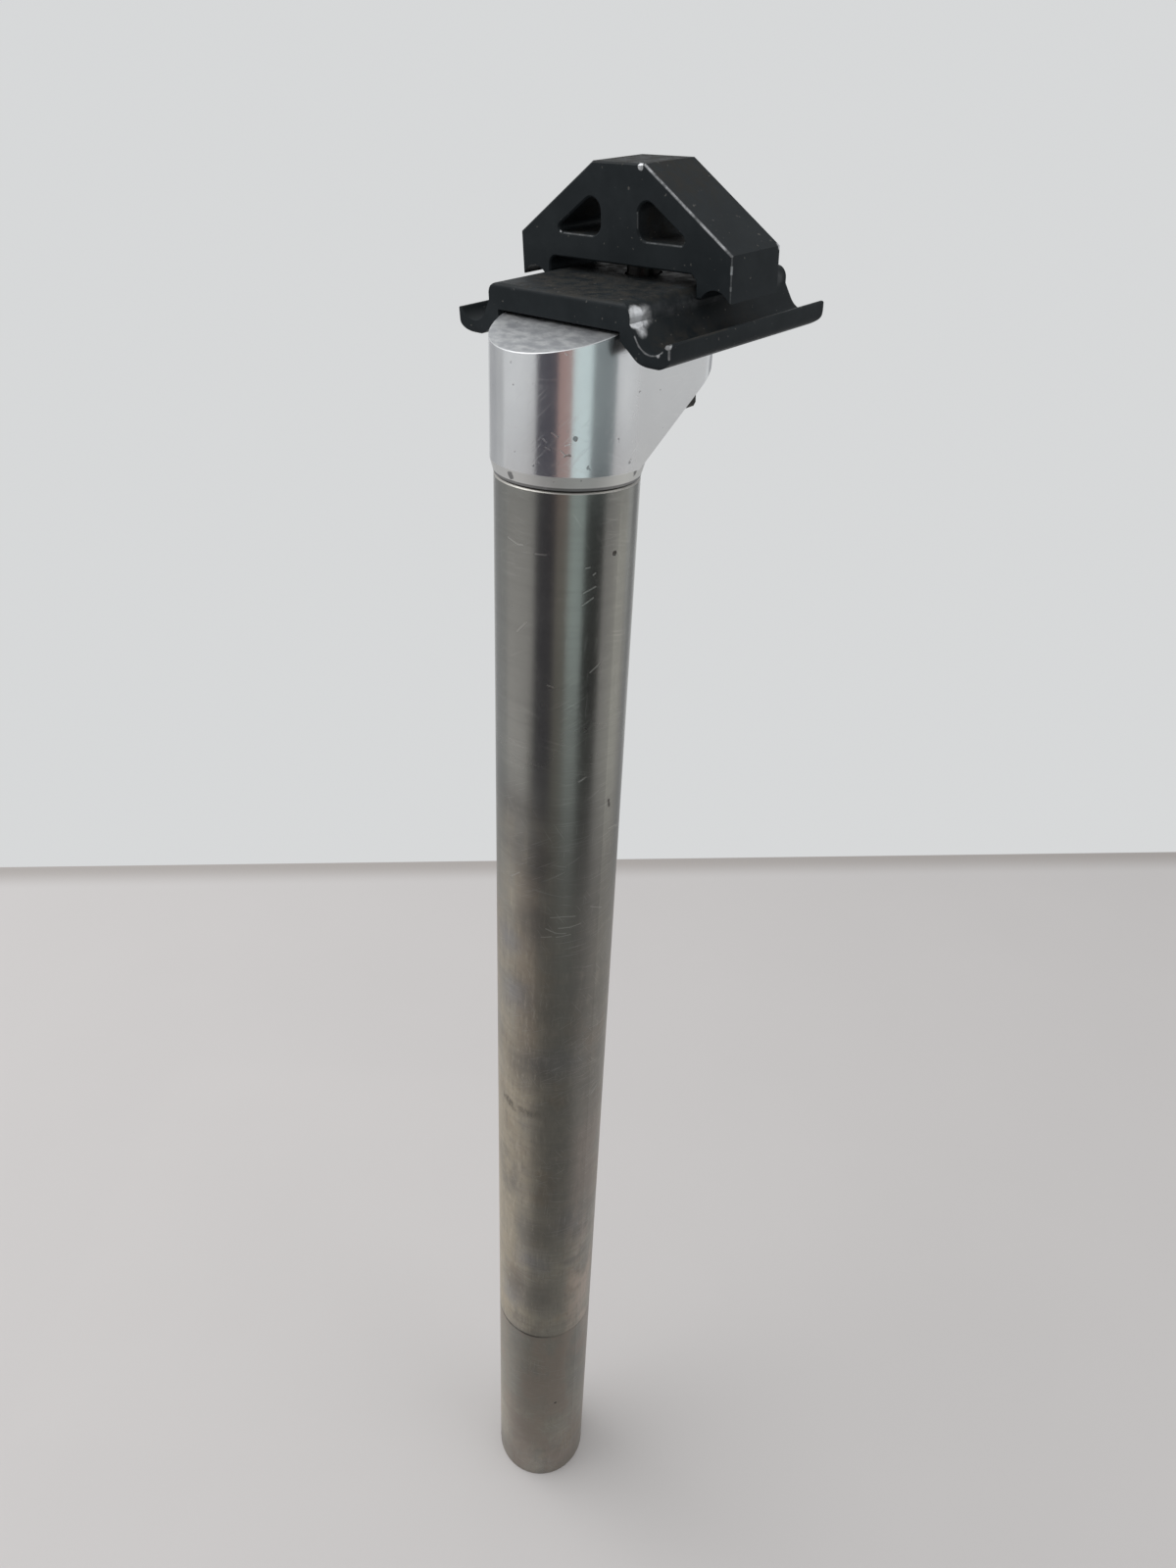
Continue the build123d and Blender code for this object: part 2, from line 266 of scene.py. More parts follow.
# Long scratches on the tube and its smeared scuff, each a path of bearings and heights
TUBE_CUTS = (
    ((-49.9, 233.3), (-38.0, 233.6), (-26.5, 233.3)),
    ((-41.9, 230.4), (-31.0, 230.5), (-20.2, 231.0)),
    ((-54.1, 230.1), (-44.0, 229.0), (-35.1, 228.8)),
    ((-58.4, 227.5), (-48.4, 228.0)),
    ((-43.9, 227.9), (-30.5, 228.4)),
    ((-10.6, 234.8), (3.5, 232.9)),
    ((-28.1, 267.8), (-21.7, 268.6)),
    ((7.8, 253.5), (18.0, 253.0), (28.5, 251.6)),
    ((-91.8, 241.3), (-81.3, 243.5)),
    ((-95.9, 316.9), (-84.5, 316.2), (-80.0, 316.4)),
    ((-69.0, 315.2), (-59.9, 315.3)),
    ((-30.4, 308.3), (-20.4, 309.3)),
    ((-29.4, 313.0), (-25.8, 313.1)),
    ((-22.7, 311.6), (-20.9, 311.9)),
    ((-31.0, 305.9), (-21.9, 307.2)),
    ((-85.3, 299.2), (-76.3, 301.6)),
    ((-22.0, 292.0), (-13.0, 293.6)),
    ((-57.0, 289.5), (-52.0, 289.2)),
)
TUBE_SCUFF = ((-100.2, 171.1), (-88.0, 170.1), (-72.2, 170.4), (-58.0, 170.7))

# Dark and bluish blotches on the tube: bearing, height and radius
TUBE_BLOTCHES = (
    (-52.6, 124, 6.5), (-53.9, 96, 7.0), (-23.4, 149, 7.5), (-6.4, 122, 5.0),
    (-80.6, 99, 5.0), (-91, 259, 6.5), (-80, 250, 6.0), (-62, 186, 8.0),
    (-35, 205, 9.0), (-28, 172, 8.0), (-63, 246, 7.0), (-60, 231, 7.0),
)
TUBE_BLUISH = (
    (-88, 208, 5.0), (-99, 223, 4.5), (-93, 92, 5.0),
    (-62, 112, 5.0), (-40, 188, 6.0), (-20, 128, 5.0),
)

# Areas of the tube: bearing, degrees to either side where they are full and where they are
# gone, and the heights over which they fade at the top and at the foot. Gold, brown and tan are
# stains; the shade area is painted shade, a darker band up the tube's right front.
GOLD_AREA = (-97, 14, 56, (266.0, 250.0), (RING_HEIGHT - 3.0, RING_HEIGHT + 6.0))
BROWN_AREA = (-73, 4, 17, (254.0, 240.0), (182.0, 198.0))
TAN_AREA = (3, 8, 30, (176.0, 158.0), (40.0, 56.0))
PAINTED_SHADE_AREA = (-14, 20, 58, (272.0, 244.0), (104.0, 132.0))

# Heights over which the tube goes from clean to worn and from glossy to dull
WORN_HEIGHTS = (262.0, 200.0)
DULL_HEIGHTS = (300.0, 212.0)

# Fine scratches, one family per line: lean in degrees, length and width of the noise, threshold
TUBE_SCRATCHES = (
    (5, 9.0, 0.26, 0.70),
    (-13, 7.0, 0.24, 0.71),
    (31, 6.0, 0.24, 0.72),
    (-58, 5.0, 0.26, 0.73),
    (86, 6.0, 0.24, 0.74),
)
HEAD_SCRATCHES = (
    (4, 6.0, 0.22, 0.71),
    (-24, 5.0, 0.22, 0.72),
    (47, 4.0, 0.22, 0.73),
)

# Colours of the tube
TUBE_GREY = (0.294, 0.295, 0.277)
TUBE_PALE_GREY = (0.342, 0.343, 0.320)
TUBE_WORN = (0.345, 0.326, 0.284)
TUBE_RUBBED = (0.47, 0.425, 0.36)
TUBE_GOLD = (0.485, 0.425, 0.330)
TUBE_BROWN = (0.335, 0.276, 0.215)
TUBE_BLUE_GREY = (0.285, 0.290, 0.312)
TUBE_TAN = (0.54, 0.46, 0.40)
TUBE_DARK = (0.175, 0.170, 0.162)
STREAK_DARK = (0.21, 0.20, 0.188)
STREAK_PALE = (0.56, 0.51, 0.42)
FLAKE_PALE = (0.58, 0.535, 0.45)
FLAKE_DARK = (0.20, 0.19, 0.178)
BAND_DARK = (0.17, 0.166, 0.158)
FOOT_GREY = (0.245, 0.243, 0.222)
FOOT_BROWN = (0.335, 0.280, 0.245)
RIM_PALE = (0.52, 0.505, 0.475)
MARK_BLACK = (0.045, 0.040, 0.038)
SCRATCH_PALE = (0.50, 0.49, 0.465)


def tube_side(s, bearing, inner, outer):
    """1 within inner degrees of a bearing on the tube and 0 beyond outer."""
    a = radians(bearing)
    toward = s.vector("DOT_PRODUCT", s.place, (cos(a), sin(a), 0))
    return s.step(toward, TUBE_RADIUS * cos(radians(outer)), TUBE_RADIUS * cos(radians(inner)))


def tube_area(s, z, bearing, inner, outer, top, foot):
    """An area about a bearing that fades to either side, at its top and at its foot."""
    return s.times(tube_side(s, bearing, inner, outer), s.step(z, *top), s.step(z, *foot))


def tube_blobs(s, table, **settings):
    """Soft blotches on the tube, full only at their middle."""
    return s.most([s.blob(on_tube(a, h), r, core=0.0, **settings) for a, h, r in table])


def tube_stains_and_shade(s, z, patches, mottle, grain):
    """The tube's colour, layer by layer: metal, wear, stains, painted shade, streaks, flakes and foot.
    """
    worn = s.step(z, *WORN_HEIGHTS)
    clouds = s.noise(34.0, (1, 1, 1.5), detail=4.0, rough=0.6)
    colour = s.mix(s.step(clouds, 0.35, 0.7), TUBE_GREY, TUBE_PALE_GREY)
    colour = s.mix(s.times(worn, 0.75), colour, TUBE_WORN)
    colour = s.mix(s.times(worn, s.step(mottle, 0.42, 0.68), 0.42), colour, TUBE_RUBBED)

    gold = tube_area(s, z, *GOLD_AREA)
    patchy = s.blend(s.step(patches, 0.36, 0.60), 0.25, 1.0)
    gold = s.times(gold, patchy, s.blend(grain, 0.6, 1.15))
    colour = s.mix(s.times(gold, 0.75), colour, TUBE_GOLD)
    brown = s.times(tube_area(s, z, *BROWN_AREA), s.blend(patches, 0.4, 1.1))
    spots = s.noise(11.0, (1, 1, 1.5), detail=4.0, rough=0.6, shift=41.0)
    spots = s.times(worn, s.step(spots, 0.52, 0.66))
    colour = s.mix(s.most([s.times(brown, 0.7), s.times(spots, 0.5)]), colour, TUBE_BROWN)
    bluish = tube_blobs(s, TUBE_BLUISH, ragged=1.5, size=6.0, reach=1.6)
    colour = s.mix(s.times(bluish, 0.6), colour, TUBE_BLUE_GREY)
    tan = s.times(tube_area(s, z, *TAN_AREA), s.step(patches, 0.40, 0.56))
    colour = s.mix(s.times(tan, 0.8), colour, TUBE_TAN)

    dark = s.noise(16.0, (1, 1, 1.2), detail=5.0, rough=0.62, shift=5.7)
    dark = s.times(worn, s.step(dark, 0.50, 0.68), 0.45)
    blotches = tube_blobs(s, TUBE_BLOTCHES, ragged=1.7, size=7.0, reach=1.75)
    dark = s.most([dark, s.times(blotches, s.blend(mottle, 0.25, 1.0))])
    # Painted shade: the tube darkened in a band about bearing -14 degrees, mixed in with the dark
    # blotches
    shade = s.times(tube_area(s, z, *PAINTED_SHADE_AREA), s.blend(patches, 0.35, 0.95))
    dark = s.most([dark, s.times(shade, 0.85)])
    colour = s.mix(dark, colour, TUBE_DARK)

    streaks = s.noise(2.6, (1, 1, 9), detail=4.0, rough=0.7, shift=27.0)
    colour = s.mix(s.times(worn, s.step(streaks, 0.50, 0.72), 0.28), colour, STREAK_DARK)
    colour = s.mix(s.times(gold, s.step(streaks, 0.47, 0.32), 0.5), colour, STREAK_PALE)
    flakes = s.noise(0.9, (1, 1, 4.5), detail=3.0, rough=0.65, shift=51.0)
    pale = s.times(worn, s.blend(gold, 0.25, 1.0), s.step(flakes, 0.54, 0.72), 0.45)
    colour = s.mix(pale, colour, FLAKE_PALE)
    colour = s.mix(s.times(worn, s.step(flakes, 0.46, 0.30), 0.30), colour, FLAKE_DARK)
    bands = s.noise(1.4, (30, 30, 1), detail=4.0, rough=0.75, shift=31.0)
    colour = s.mix(s.times(s.step(bands, 0.42, 0.70), 0.16), colour, BAND_DARK)

    foot = s.step(z, RING_HEIGHT + 0.8, RING_HEIGHT - 0.8)
    colour = s.mix(s.times(foot, s.step(z, 24.0, 48.0), 0.55), colour, FOOT_GREY)
    return s.mix(s.times(foot, s.step(patches, 0.42, 0.60), 0.6), colour, FOOT_BROWN)


def tube_metal():
    """Satin grey metal with turned rings, stains, painted shade, a ring line, a scuff and scratches."""
    s = Surface("tube_metal")
    z = s.axes(s.place)[2]
    patches = s.noise(13.0, (1, 1, 1.7), detail=5.0, rough=0.62, shift=3.1)
    mottle = s.noise(5.0, (1.3, 1.3, 1.0), detail=5.0, rough=0.7, shift=15.0)
    grain = s.noise(1.6, (1, 1, 2.2), detail=4.0, rough=0.75, shift=9.4)
    rings = s.noise(0.5, (60, 60, 1), detail=3.0, rough=0.75)
    colour = tube_stains_and_shade(s, z, patches, mottle, grain)

    waver = s.add(RING_HEIGHT - 0.25, s.noise(4.0, (1, 1, 6), detail=2.0), 0.5)
    ring = s.step(s.math("ABSOLUTE", s.math("SUBTRACT", z, waver)), 0.75, 0.10)
    ring = s.times(ring, s.blend(tube_side(s, -92, 10, 75), 0.40, 0.95))
    ring = s.times(ring, s.blend(s.step(mottle, 0.35, 0.6), 0.55, 1.0))
    scuff = s.strokes(round_paths([TUBE_SCUFF], TUBE_RADIUS), 2.0)
    scuff_side = s.blend(tube_side(s, -97, 6, 40), 0.3, 0.8)
    scuff = s.times(scuff, s.step(grain, 0.34, 0.66), scuff_side)
    specks = s.most([
        s.blob(on_tube(-4, 315), 0.5, ragged=0.08),
        s.stroke(on_tube(5.2, 261.0), on_tube(6.5, 259.4), 0.42),
        s.blob(on_tube(-27.6, 41.4), 0.45, ragged=0.06),
    ])
    rim = s.step(z, TUBE_TOP - 0.68, TUBE_TOP - 0.58)
    colour = s.mix(rim, colour, RIM_PALE)
    seam = s.step(z, TUBE_TOP - 0.32, TUBE_TOP - 0.18)
    colour = s.mix(s.times(s.most([ring, scuff, specks, seam]), 0.85), colour, MARK_BLACK)

    cuts = s.strokes(round_paths(TUBE_CUTS, TUBE_RADIUS), FINE_LINE)
    hair = s.scratches(TUBE_RADIUS, TUBE_SCRATCHES, 1.0)
    scratches = s.most([s.times(cuts, 0.8), s.times(hair, 0.45)])
    colour = s.mix(s.times(scratches, 0.7), colour, SCRATCH_PALE)

    rough = s.blend(s.step(z, *DULL_HEIGHTS), 0.235, 0.43)
    rough = s.add(rough, s.centred(rings), 0.02)
    rough = s.add(rough, s.centred(patches), 0.18)
    rough = s.add(rough, rim, 0.15)
    rough = s.add(rough, cuts, 0.12)
    s.fill(s.shader, Base_Color=colour, Metallic=1.0, Roughness=rough)

    height = s.add(s.times(grain, 0.001), rings, 0.010)
    height = s.add(height, s.most([specks, seam]), -0.08)
    dents = s.most([s.times(cuts, 0.8), s.times(hair, 0.26)])
    height = s.add(height, dents, -0.03)
    s.bump(height, 0.55)
    return s.material


# The head's front facet slopes down to the front by this angle
FACET_TILT = radians(17.4)
FACET_NORMAL = (0, -sin(FACET_TILT), cos(FACET_TILT))

# Pits on the head: point, radius, and how far and how finely the edge is ragged
HEAD_PITS = (
    (on_tube(-40.7, 336.1, BARREL_RADIUS), 0.42, 0.1, 0.5),
    (on_tube(-91, 328.5, NECK_RADIUS), 0.75, 0.22, 0.7),
    (on_tube(13, 329.0, NECK_RADIUS), 0.6, 0.2, 0.7),
    (in_clamp(14.3, 4.0, -9.0), 0.35, 0.08, 0.5),
)

# Short nicks on the head's barrel, each a path of bearings and heights
HEAD_NICKS = (
    ((-56.5, 336.9), (-52.5, 336.3)),
    ((-63, 335.8), (-60.5, 335.2)),
    ((-61, 334.4), (-58, 334.1)),
    ((-47, 334.9), (-44, 335.1)),
    ((-50, 334.0), (-48, 333.5)),
    ((-48.8, 349.6), (-47.4, 349.4)),
)

# Colours of the head
HEAD_GREY = (0.74, 0.75, 0.765)
HEAD_PALE_GREY = (0.80, 0.81, 0.82)
FACET_DARK = (0.37, 0.38, 0.40)
FACET_PALE = (0.525, 0.535, 0.54)
FACET_GRIME = (0.30, 0.27, 0.20)
NECK_GREY = (0.69, 0.69, 0.67)
FLAT_GREY = (0.68, 0.685, 0.69)
# Painted shade for the facet's bevelled rim, a darker grey that dims its highlight
BEVEL_SHADE_GREY = (0.55, 0.56, 0.57)
PIT_BLACK = (0.13, 0.13, 0.135)
NICK_PALE = (0.88, 0.88, 0.88)


def head_metal():
    """Polished aluminium with a matte front facet, a satin neck, pits and scratches."""
    s = Surface("head_metal")
    y, z = s.axes(s.place)[1:]
    normal_x, _, normal_z = s.axes(s.normal)
    frontal = s.facing(FACET_NORMAL)
    facet = s.step(frontal, 0.965, 0.985)
    shaded_bevel = s.math("SUBTRACT", s.step(frontal, 0.42, 0.55), facet)
    sideways = s.step(s.math("ABSOLUTE", normal_x), 0.985, 0.998)
    flat = s.times(sideways, s.step(y, -1.0, 4.0))
    under = s.step(normal_z, -0.2, -0.5)
    neck = s.step(z, NECK_TOP + 0.15, NECK_TOP - 0.15)

    clouds = s.noise(9.0, (1, 1, 1.6), detail=4.0, rough=0.6)
    fine = s.noise(0.7, (1, 1, 5), detail=3.0, rough=0.7, shift=2.0)
    stain = s.noise(2.2, (1.6, 0.8, 1), detail=5.0, rough=0.7, shift=6.0)

    colour = s.mix(s.step(clouds, 0.35, 0.7), HEAD_GREY, HEAD_PALE_GREY)
    facet_colour = s.mix(s.step(stain, 0.36, 0.66), FACET_DARK, FACET_PALE)
    grime = s.step(s.noise(1.1, detail=4.0, rough=0.7, shift=11.0), 0.56, 0.72)
    grime = s.times(grime, s.step(y, -7.0, 3.0))
    facet_colour = s.mix(s.times(grime, 0.55), facet_colour, FACET_GRIME)
    colour = s.mix(facet, colour, facet_colour)
    colour = s.mix(s.times(neck, 0.8), colour, NECK_GREY)
    colour = s.mix(s.times(flat, 0.6), colour, FLAT_GREY)
    # Painted shade: the facet's bevelled rim in a darker grey that dims the lamp's highlight on it; it
    # is also made rougher below
    colour = s.mix(s.times(shaded_bevel, 0.8), colour, BEVEL_SHADE_GREY)

    scattered = s.step(s.noise(1.6, detail=2.0, rough=0.5, shift=14.0), 0.715, 0.75)
    pits = s.most([s.blob(*pit) for pit in HEAD_PITS] + [s.times(scattered, 0.7)])
    seam = s.step(z, TUBE_TOP + 0.60, TUBE_TOP + 0.42)
    colour = s.mix(s.times(s.most([pits, seam]), 0.75), colour, PIT_BLACK)
    nicks = s.strokes(round_paths(HEAD_NICKS, BARREL_RADIUS), FINE_LINE)
    hair = s.scratches(TUBE_RADIUS, HEAD_SCRATCHES, 2.2)
    scratches = s.most([s.times(nicks, 0.7), s.times(hair, 0.28)])
    colour = s.mix(s.times(scratches, 0.6), colour, NICK_PALE)

    rough = s.add(0.10, clouds, 0.12)
    rough = s.add(rough, fine, 0.07)
    rough = s.blend(facet, rough, s.add(0.34, stain, 0.25))
    rough = s.blend(flat, rough, 0.30)
    rough = s.blend(under, rough, 0.34)
    rough = s.blend(shaded_bevel, rough, 0.45)
    rough = s.blend(neck, rough, 0.52)
    rough = s.add(rough, scratches, 0.2)
    s.fill(s.shader, Base_Color=colour, Metallic=1.0, Roughness=rough)

    height = s.add(s.times(clouds, 0.02), fine, 0.006)
    height = s.add(height, s.times(stain, facet), 0.03)
    height = s.add(height, pits, -0.06)
    height = s.add(height, scratches, -0.03)
    s.bump(height, 0.5)
    return s.material


# Colours of the clamp, its dust and its bared metal
CLAMP_BLACK = (0.0148, 0.0184, 0.0208)
CLAMP_PALE_BLACK = (0.0202, 0.0244, 0.0272)
DUST_BROWN = (0.050, 0.045, 0.038)
FLECK_GREY = (0.20, 0.19, 0.175)
BARE_DARK = (0.30, 0.305, 0.31)
BARE_PALE = (0.60, 0.61, 0.63)


def black_anodised(name, worn_edges, chips, dusty):
    """Black satin clamp metal: bare at worn edges and chips, with brown dust where it is dusty.

    Each of the three is a function that makes the mask on this surface.
    """
    s = Surface(name)
    clouds = s.noise(7.0, detail=4.0, rough=0.6)
    tooth = s.noise(0.35, detail=2.0, rough=0.6, shift=3.0)
    colour = s.mix(s.step(clouds, 0.35, 0.7), CLAMP_BLACK, CLAMP_PALE_BLACK)

    drift = s.step(s.noise(2.4, detail=5.0, rough=0.7, shift=8.0), 0.36, 0.66)
    dust = s.times(dusty(s), drift)
    colour = s.mix(s.times(dust, 0.6), colour, DUST_BROWN)
    flecks = s.step(s.noise(0.8, detail=1.0, rough=0.5, shift=21.0), 0.735, 0.77)
    colour = s.mix(s.times(flecks, 0.35), colour, FLECK_GREY)

    broken = s.step(s.noise(2.6, detail=3.0, rough=0.6, shift=17.0), 0.36, 0.58)
    broken = s.blend(broken, 0.35, 1.0)
    bare = s.most([s.times(worn_edges(s), broken), chips(s)])
    pitted = s.step(s.noise(1.8, detail=3.0, rough=0.6, shift=4.0), 0.34, 0.66)
    colour = s.mix(bare, colour, s.mix(pitted, BARE_DARK, BARE_PALE))

    rough = s.add(0.38, clouds, 0.12)
    rough = s.add(rough, dust, 0.30)
    rough = s.blend(bare, rough, 0.36)
    s.fill(s.shader, Base_Color=colour, Metallic=bare, Roughness=rough, Specular_IOR_Level=0.065)
    height = s.add(s.times(dust, 0.02), tooth, 0.010)
    height = s.add(height, bare, -0.015)
    s.bump(height, 0.5)
    return s.material


# Upper clamp's corners in the clamp's own frame: half widths, heights and front face
JAW_HALF = 24.7
JAW_TOP_HALF = 5.94
JAW_FACE = -6.55
JAW_TOP = 35.62
JAW_SHOULDER = 23.52
JAW_FOOT = 16.5
WINDOW_SILL = 24.17
WINDOW_COLUMN = 4.4


def jaw_edges(s):
    """Rubbed lines along the upper clamp's right slope and corner and its window sills."""
    slope = on_face(JAW_FACE, (JAW_TOP_HALF, JAW_TOP), (JAW_HALF, JAW_SHOULDER))
    corner = on_face(JAW_FACE, (JAW_HALF, JAW_SHOULDER), (JAW_HALF, JAW_FOOT))
    right_sill = on_face(
        JAW_FACE,
        (WINDOW_COLUMN, WINDOW_SILL + 4.2),
        (WINDOW_COLUMN, WINDOW_SILL + 2.0),
        (WINDOW_COLUMN + 0.6, WINDOW_SILL + 0.6),
        (WINDOW_COLUMN + 2.0, WINDOW_SILL),
        (WINDOW_COLUMN + 9.6, WINDOW_SILL),
    )
    left_sill = on_face(
        JAW_FACE,
        (-WINDOW_COLUMN - 9.6, WINDOW_SILL + 0.3),
        (-WINDOW_COLUMN - 9.0, WINDOW_SILL),
        (-WINDOW_COLUMN - 2.0, WINDOW_SILL),
        (-WINDOW_COLUMN - 0.6, WINDOW_SILL + 0.6),
    )
    strong = s.strokes([slope], 0.40)
    faint = s.strokes([corner, right_sill, left_sill], 0.30)
    return s.most([s.times(strong, 0.75), s.times(faint, 0.45)])


def jaw_chips(s):
    """Bared spots at the upper clamp's corners."""
    return s.most([
        s.blob(in_clamp(JAW_TOP_HALF - 0.9, JAW_FACE, JAW_TOP - 0.4), 0.62, ragged=0.12, size=0.6),
        s.stroke(*on_face(JAW_FACE, (JAW_HALF, 21.9), (JAW_HALF, 20.9)), 0.36),
        s.stroke(*on_face(JAW_FACE, (JAW_HALF, 18.9), (JAW_HALF, 18.4)), 0.32),
        s.blob(in_clamp(JAW_HALF, -JAW_FACE, JAW_SHOULDER), 0.75, ragged=0.15, size=0.6),
        s.blob(in_clamp(-WINDOW_COLUMN - 9.8, JAW_FACE, WINDOW_SILL + 0.3), 0.4, ragged=0.08, size=0.6),
    ])


def jaw_dust(s):
    """Dust on the upper clamp's level faces, most of it in and about the windows."""
    level = s.step(s.facing(CLAMP_UP), 0.55, 0.95)
    inside = s.blob(in_clamp(0, 0, WINDOW_SILL + 3), 15.0)
    windows = [in_clamp(across, 0, WINDOW_SILL + 2.6) for across in (-8.0, 8.0)]
    walls = s.most([s.blob(window, 6.0, ragged=0.4, size=3.0) for window in windows])
    return s.most([s.times(level, s.add(0.1, inside, 0.8)), walls])


# Lower cradle's lines in the clamp's own frame
CRADLE_FACE = -22.4
PLATE_TOP = 17.92
RIDGE_HALF = 16.9
GROOVE_MIDDLE = 21.4
GROOVE_HEIGHT = 14.52
GROOVE_RADIUS = 3.6
GROOVE_ANGLES = (200, 225, 250, 270, 290, 310)
LIP_TIP = 25.2
LIP_INNER = 24.62
LIP_HEIGHT = 12.92


def cradle_edges(s):
    """Rubbed lines along the cradle's ridge, front edge, right lip and groove."""
    brow_half = RIDGE_HALF - 1.8
    brow = on_face(CRADLE_FACE, (-brow_half, PLATE_TOP), (brow_half, PLATE_TOP))
    groove = []
    for angle in GROOVE_ANGLES:
        across = GROOVE_MIDDLE + GROOVE_RADIUS * cos(radians(angle))
        up = GROOVE_HEIGHT + GROOVE_RADIUS * sin(radians(angle))
        groove.append(in_clamp(across, CRADLE_FACE, up))
    lip = on_face(CRADLE_FACE, (LIP_TIP, LIP_HEIGHT), (LIP_TIP, LIP_HEIGHT - 2.0))
    lip_line = [in_clamp(LIP_INNER, y, LIP_HEIGHT) for y in (2.0, 17.0)]
    ridge = [in_clamp(RIDGE_HALF + 0.4, y, PLATE_TOP - 1.7) for y in (CRADLE_FACE + 6.0, 18.0)]
    return s.most([
        s.times(s.strokes([ridge], 1.8), 0.07),
        s.times(s.strokes([brow], 0.42), 0.09),
        s.times(s.strokes([lip_line], 0.3), 0.2),
        s.times(s.strokes([groove, lip], 0.30), 0.5),
    ])


def cradle_chips(s):
    """The knocked front right corner of the cradle and two small bared spots by its groove."""
    off_front = s.step(s.facing(CLAMP_REAR), -0.75, -0.5)
    core = in_clamp(RIDGE_HALF - 0.1, CRADLE_FACE + 1.6, 15.8)
    core = s.blob(core, 1.9, ragged=0.25, size=1.6, core=0.4, reach=1.35)
    halo = in_clamp(RIDGE_HALF + 0.2, CRADLE_FACE + 3.6, 15.8)
    halo = s.blob(halo, 2.4, ragged=0.3, size=2.0, core=0.0, reach=1.4)
    tail = in_clamp(RIDGE_HALF + 0.9, CRADLE_FACE + 2.0, 14.0)
    tail = s.blob(tail, 1.6, ragged=0.25, size=1.6, core=0.2, reach=1.4)
    knock = s.most([core, s.times(halo, 0.6), s.times(tail, 0.5)])
    uneven = s.noise(1.3, detail=5.0, rough=0.65, shift=33.0)
    knock = s.step(s.times(knock, s.blend(uneven, 0.5, 1.6)), 0.15, 0.68)
    lip_spot = in_clamp(LIP_TIP - 0.3, CRADLE_FACE, LIP_HEIGHT)
    groove_spot = in_clamp(GROOVE_MIDDLE + 1.5, CRADLE_FACE + 0.3, GROOVE_HEIGHT - 3.4)
    return s.most([
        s.times(off_front, knock),
        s.blob(lip_spot, 0.75, ragged=0.15, size=0.6),
        s.blob(groove_spot, 0.5, ragged=0.1, size=0.5),
    ])


def cradle_dust(s):
    """Dust on the cradle's level faces, most of it ahead of the jaw and in the right groove."""
    level = s.step(s.facing(CLAMP_UP), 0.3, 0.9)
    around = s.most([
        s.blob(in_clamp(3, -6, PLATE_TOP), 20.0, ragged=2.0, size=7.0),
        s.blob(in_clamp(GROOVE_MIDDLE, -13, GROOVE_HEIGHT - 3), 7.0, ragged=1.5, size=4.0),
    ])
    return s.times(level, s.add(0.12, around, 0.85))


# Colours of bolt and washer
OXIDE_BLACK = (0.035, 0.034, 0.033)
OXIDE_RUBBED = (0.16, 0.15, 0.14)


def black_oxide(name):
    """Dark oiled steel with fine turning rings and slightly rubbed high spots."""
    s = Surface(name)
    rings = s.noise(0.4, (20, 20, 1), detail=3.0, rough=0.7)
    rubbed = s.step(s.noise(1.8, detail=4.0, rough=0.65, shift=5.0), 0.56, 0.74)
    colour = s.mix(s.times(rubbed, 0.5), OXIDE_BLACK, OXIDE_RUBBED)
    s.fill(s.shader, Base_Color=colour, Metallic=0.9, Roughness=s.add(0.28, rings, 0.15))
    s.bump(s.times(rings, 0.012), 0.5)
    return s.material


def dress(node, material):
    """Gives a piece of the part its material."""
    slots = frame["nodes"][node].data.materials
    slots.clear()
    slots.append(material)


dress("post_tube", tube_metal())
dress("post_head", head_metal())
dress("upper_clamp", black_anodised("upper_clamp_black", jaw_edges, jaw_chips, jaw_dust))
dress("lower_cradle", black_anodised("lower_cradle_black", cradle_edges, cradle_chips, cradle_dust))
dress("clamp_bolt", black_oxide("bolt_steel"))
dress("half_round_washer", black_oxide("washer_black"))


# Stage: floor, reflection cards, lights and camera

view_ahead = Vector((CAMERA_AHEAD.x, CAMERA_AHEAD.y, 0)).normalized()
view_right = Vector((view_ahead.y, -view_ahead.x, 0))
floor_right = (FLOOR_EDGE[1] - FLOOR_EDGE[0]).normalized()
floor_front = Vector((floor_right.y, -floor_right.x, 0))


def sheet(name, corners, material):
    """A flat four-cornered stage piece."""
    mesh = bpy.data.meshes.new(name)
    mesh.from_pydata([tuple(c) for c in corners], [], [range(len(corners))])
    mesh.materials.append(material)
    made = bpy.data.objects.new(name, mesh)
    bpy.context.scene.collection.objects.link(made)
    return made


def floor_paint():
    """Pale matte paint with a faint mottle and a painted shadow line along the floor's back edge."""
    s = Surface("floor_paint")
    mottle = s.noise(90.0, detail=3.0, rough=0.5)
    light = tuple(c * (1 + FLOOR_MOTTLE) for c in FLOOR_COLOUR)
    shade = tuple(c * (1 - FLOOR_MOTTLE) for c in FLOOR_COLOUR)
    offset = s.vector("SUBTRACT", s.place, tuple(FLOOR_EDGE[0] * MM_PER_M))
    # Painted shadow: the floor darkens in a line along its back edge
    edge = s.step(s.vector("DOT_PRODUCT", offset, tuple(floor_front)), *FLOOR_EDGE_SHADOW_FADE)
    colour = s.mix(s.times(edge, 0.6), s.mix(mottle, shade, light), FLOOR_EDGE_SHADOW_COLOUR)
    s.fill(s.shader, Base_Color=colour, Roughness=0.85, Specular_IOR_Level=0.2)
    return s.material


def make_floor():
    """A floor that ends at its back edge and reaches far past the camera."""
    left = FLOOR_EDGE[0] - floor_right
    right = FLOOR_EDGE[1] + floor_right
    near = floor_front * FLOOR_DEPTH
    sheet("floor", [left + near, right + near, right, left], floor_paint())


